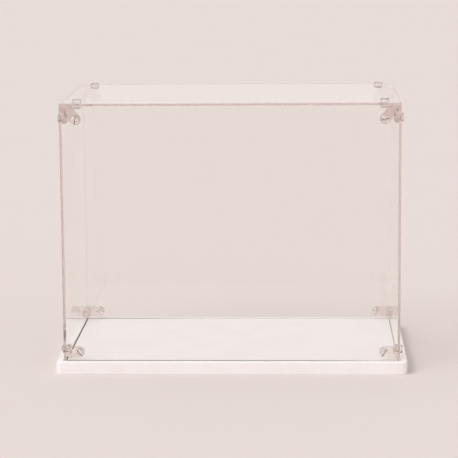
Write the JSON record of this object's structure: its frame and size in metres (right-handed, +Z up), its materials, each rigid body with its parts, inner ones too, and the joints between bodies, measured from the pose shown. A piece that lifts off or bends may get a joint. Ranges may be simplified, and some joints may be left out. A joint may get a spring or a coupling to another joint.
{
  "type": "display case",
  "caption": "Clear rectangular display case: a cover of sheets screwed to corner connectors stands in the groove of a white board and lifts off to reach the display space.",
  "frame": {"origin": "middle of the base board's underside, which stands on the table", "axes": "+Z up, +X to the right seen from the front, the front faces -Y"},
  "size_m": [0.417, 0.267, 0.3255],
  "materials": {
    "white_board": "white satin lacquer on a smooth board",
    "clear_sheet": "clear polished sheet",
    "clear_connector": "clear moulded plastic",
    "clear_screw": "clear moulded plastic"
  },
  "bodies": {
    "base": {"base_board": "white_board"},
    "cover": {"back_panel": "clear_sheet", "bottom_connector_back_left": "clear_connector", "bottom_connector_back_right": "clear_connector", "bottom_connector_front_left": "clear_connector", "bottom_connector_front_right": "clear_connector", "front_panel": "clear_sheet", "left_panel": "clear_sheet", "right_panel": "clear_sheet", "screw_back_bottom_left": "clear_screw", "screw_back_bottom_right": "clear_screw", "screw_back_top_left": "clear_screw", "screw_back_top_right": "clear_screw", "screw_front_bottom_left": "clear_screw", "screw_front_bottom_right": "clear_screw", "screw_front_top_left": "clear_screw", "screw_front_top_right": "clear_screw", "screw_left_bottom_back": "clear_screw", "screw_left_bottom_front": "clear_screw", "screw_left_top_back": "clear_screw", "screw_left_top_front": "clear_screw", "screw_lid_back_left": "clear_screw", "screw_lid_back_right": "clear_screw", "screw_lid_front_left": "clear_screw", "screw_lid_front_right": "clear_screw", "screw_right_bottom_back": "clear_screw", "screw_right_bottom_front": "clear_screw", "screw_right_top_back": "clear_screw", "screw_right_top_front": "clear_screw", "top_connector_back_left": "clear_connector", "top_connector_back_right": "clear_connector", "top_connector_front_left": "clear_connector", "top_connector_front_right": "clear_connector", "top_panel": "clear_sheet"}
  },
  "joints": [
    {"name": "cover_lift", "type": "slide", "parent": "base", "child": "cover", "axis": [0, 0, 1], "range_m": [0, 0.32]}
  ]
}
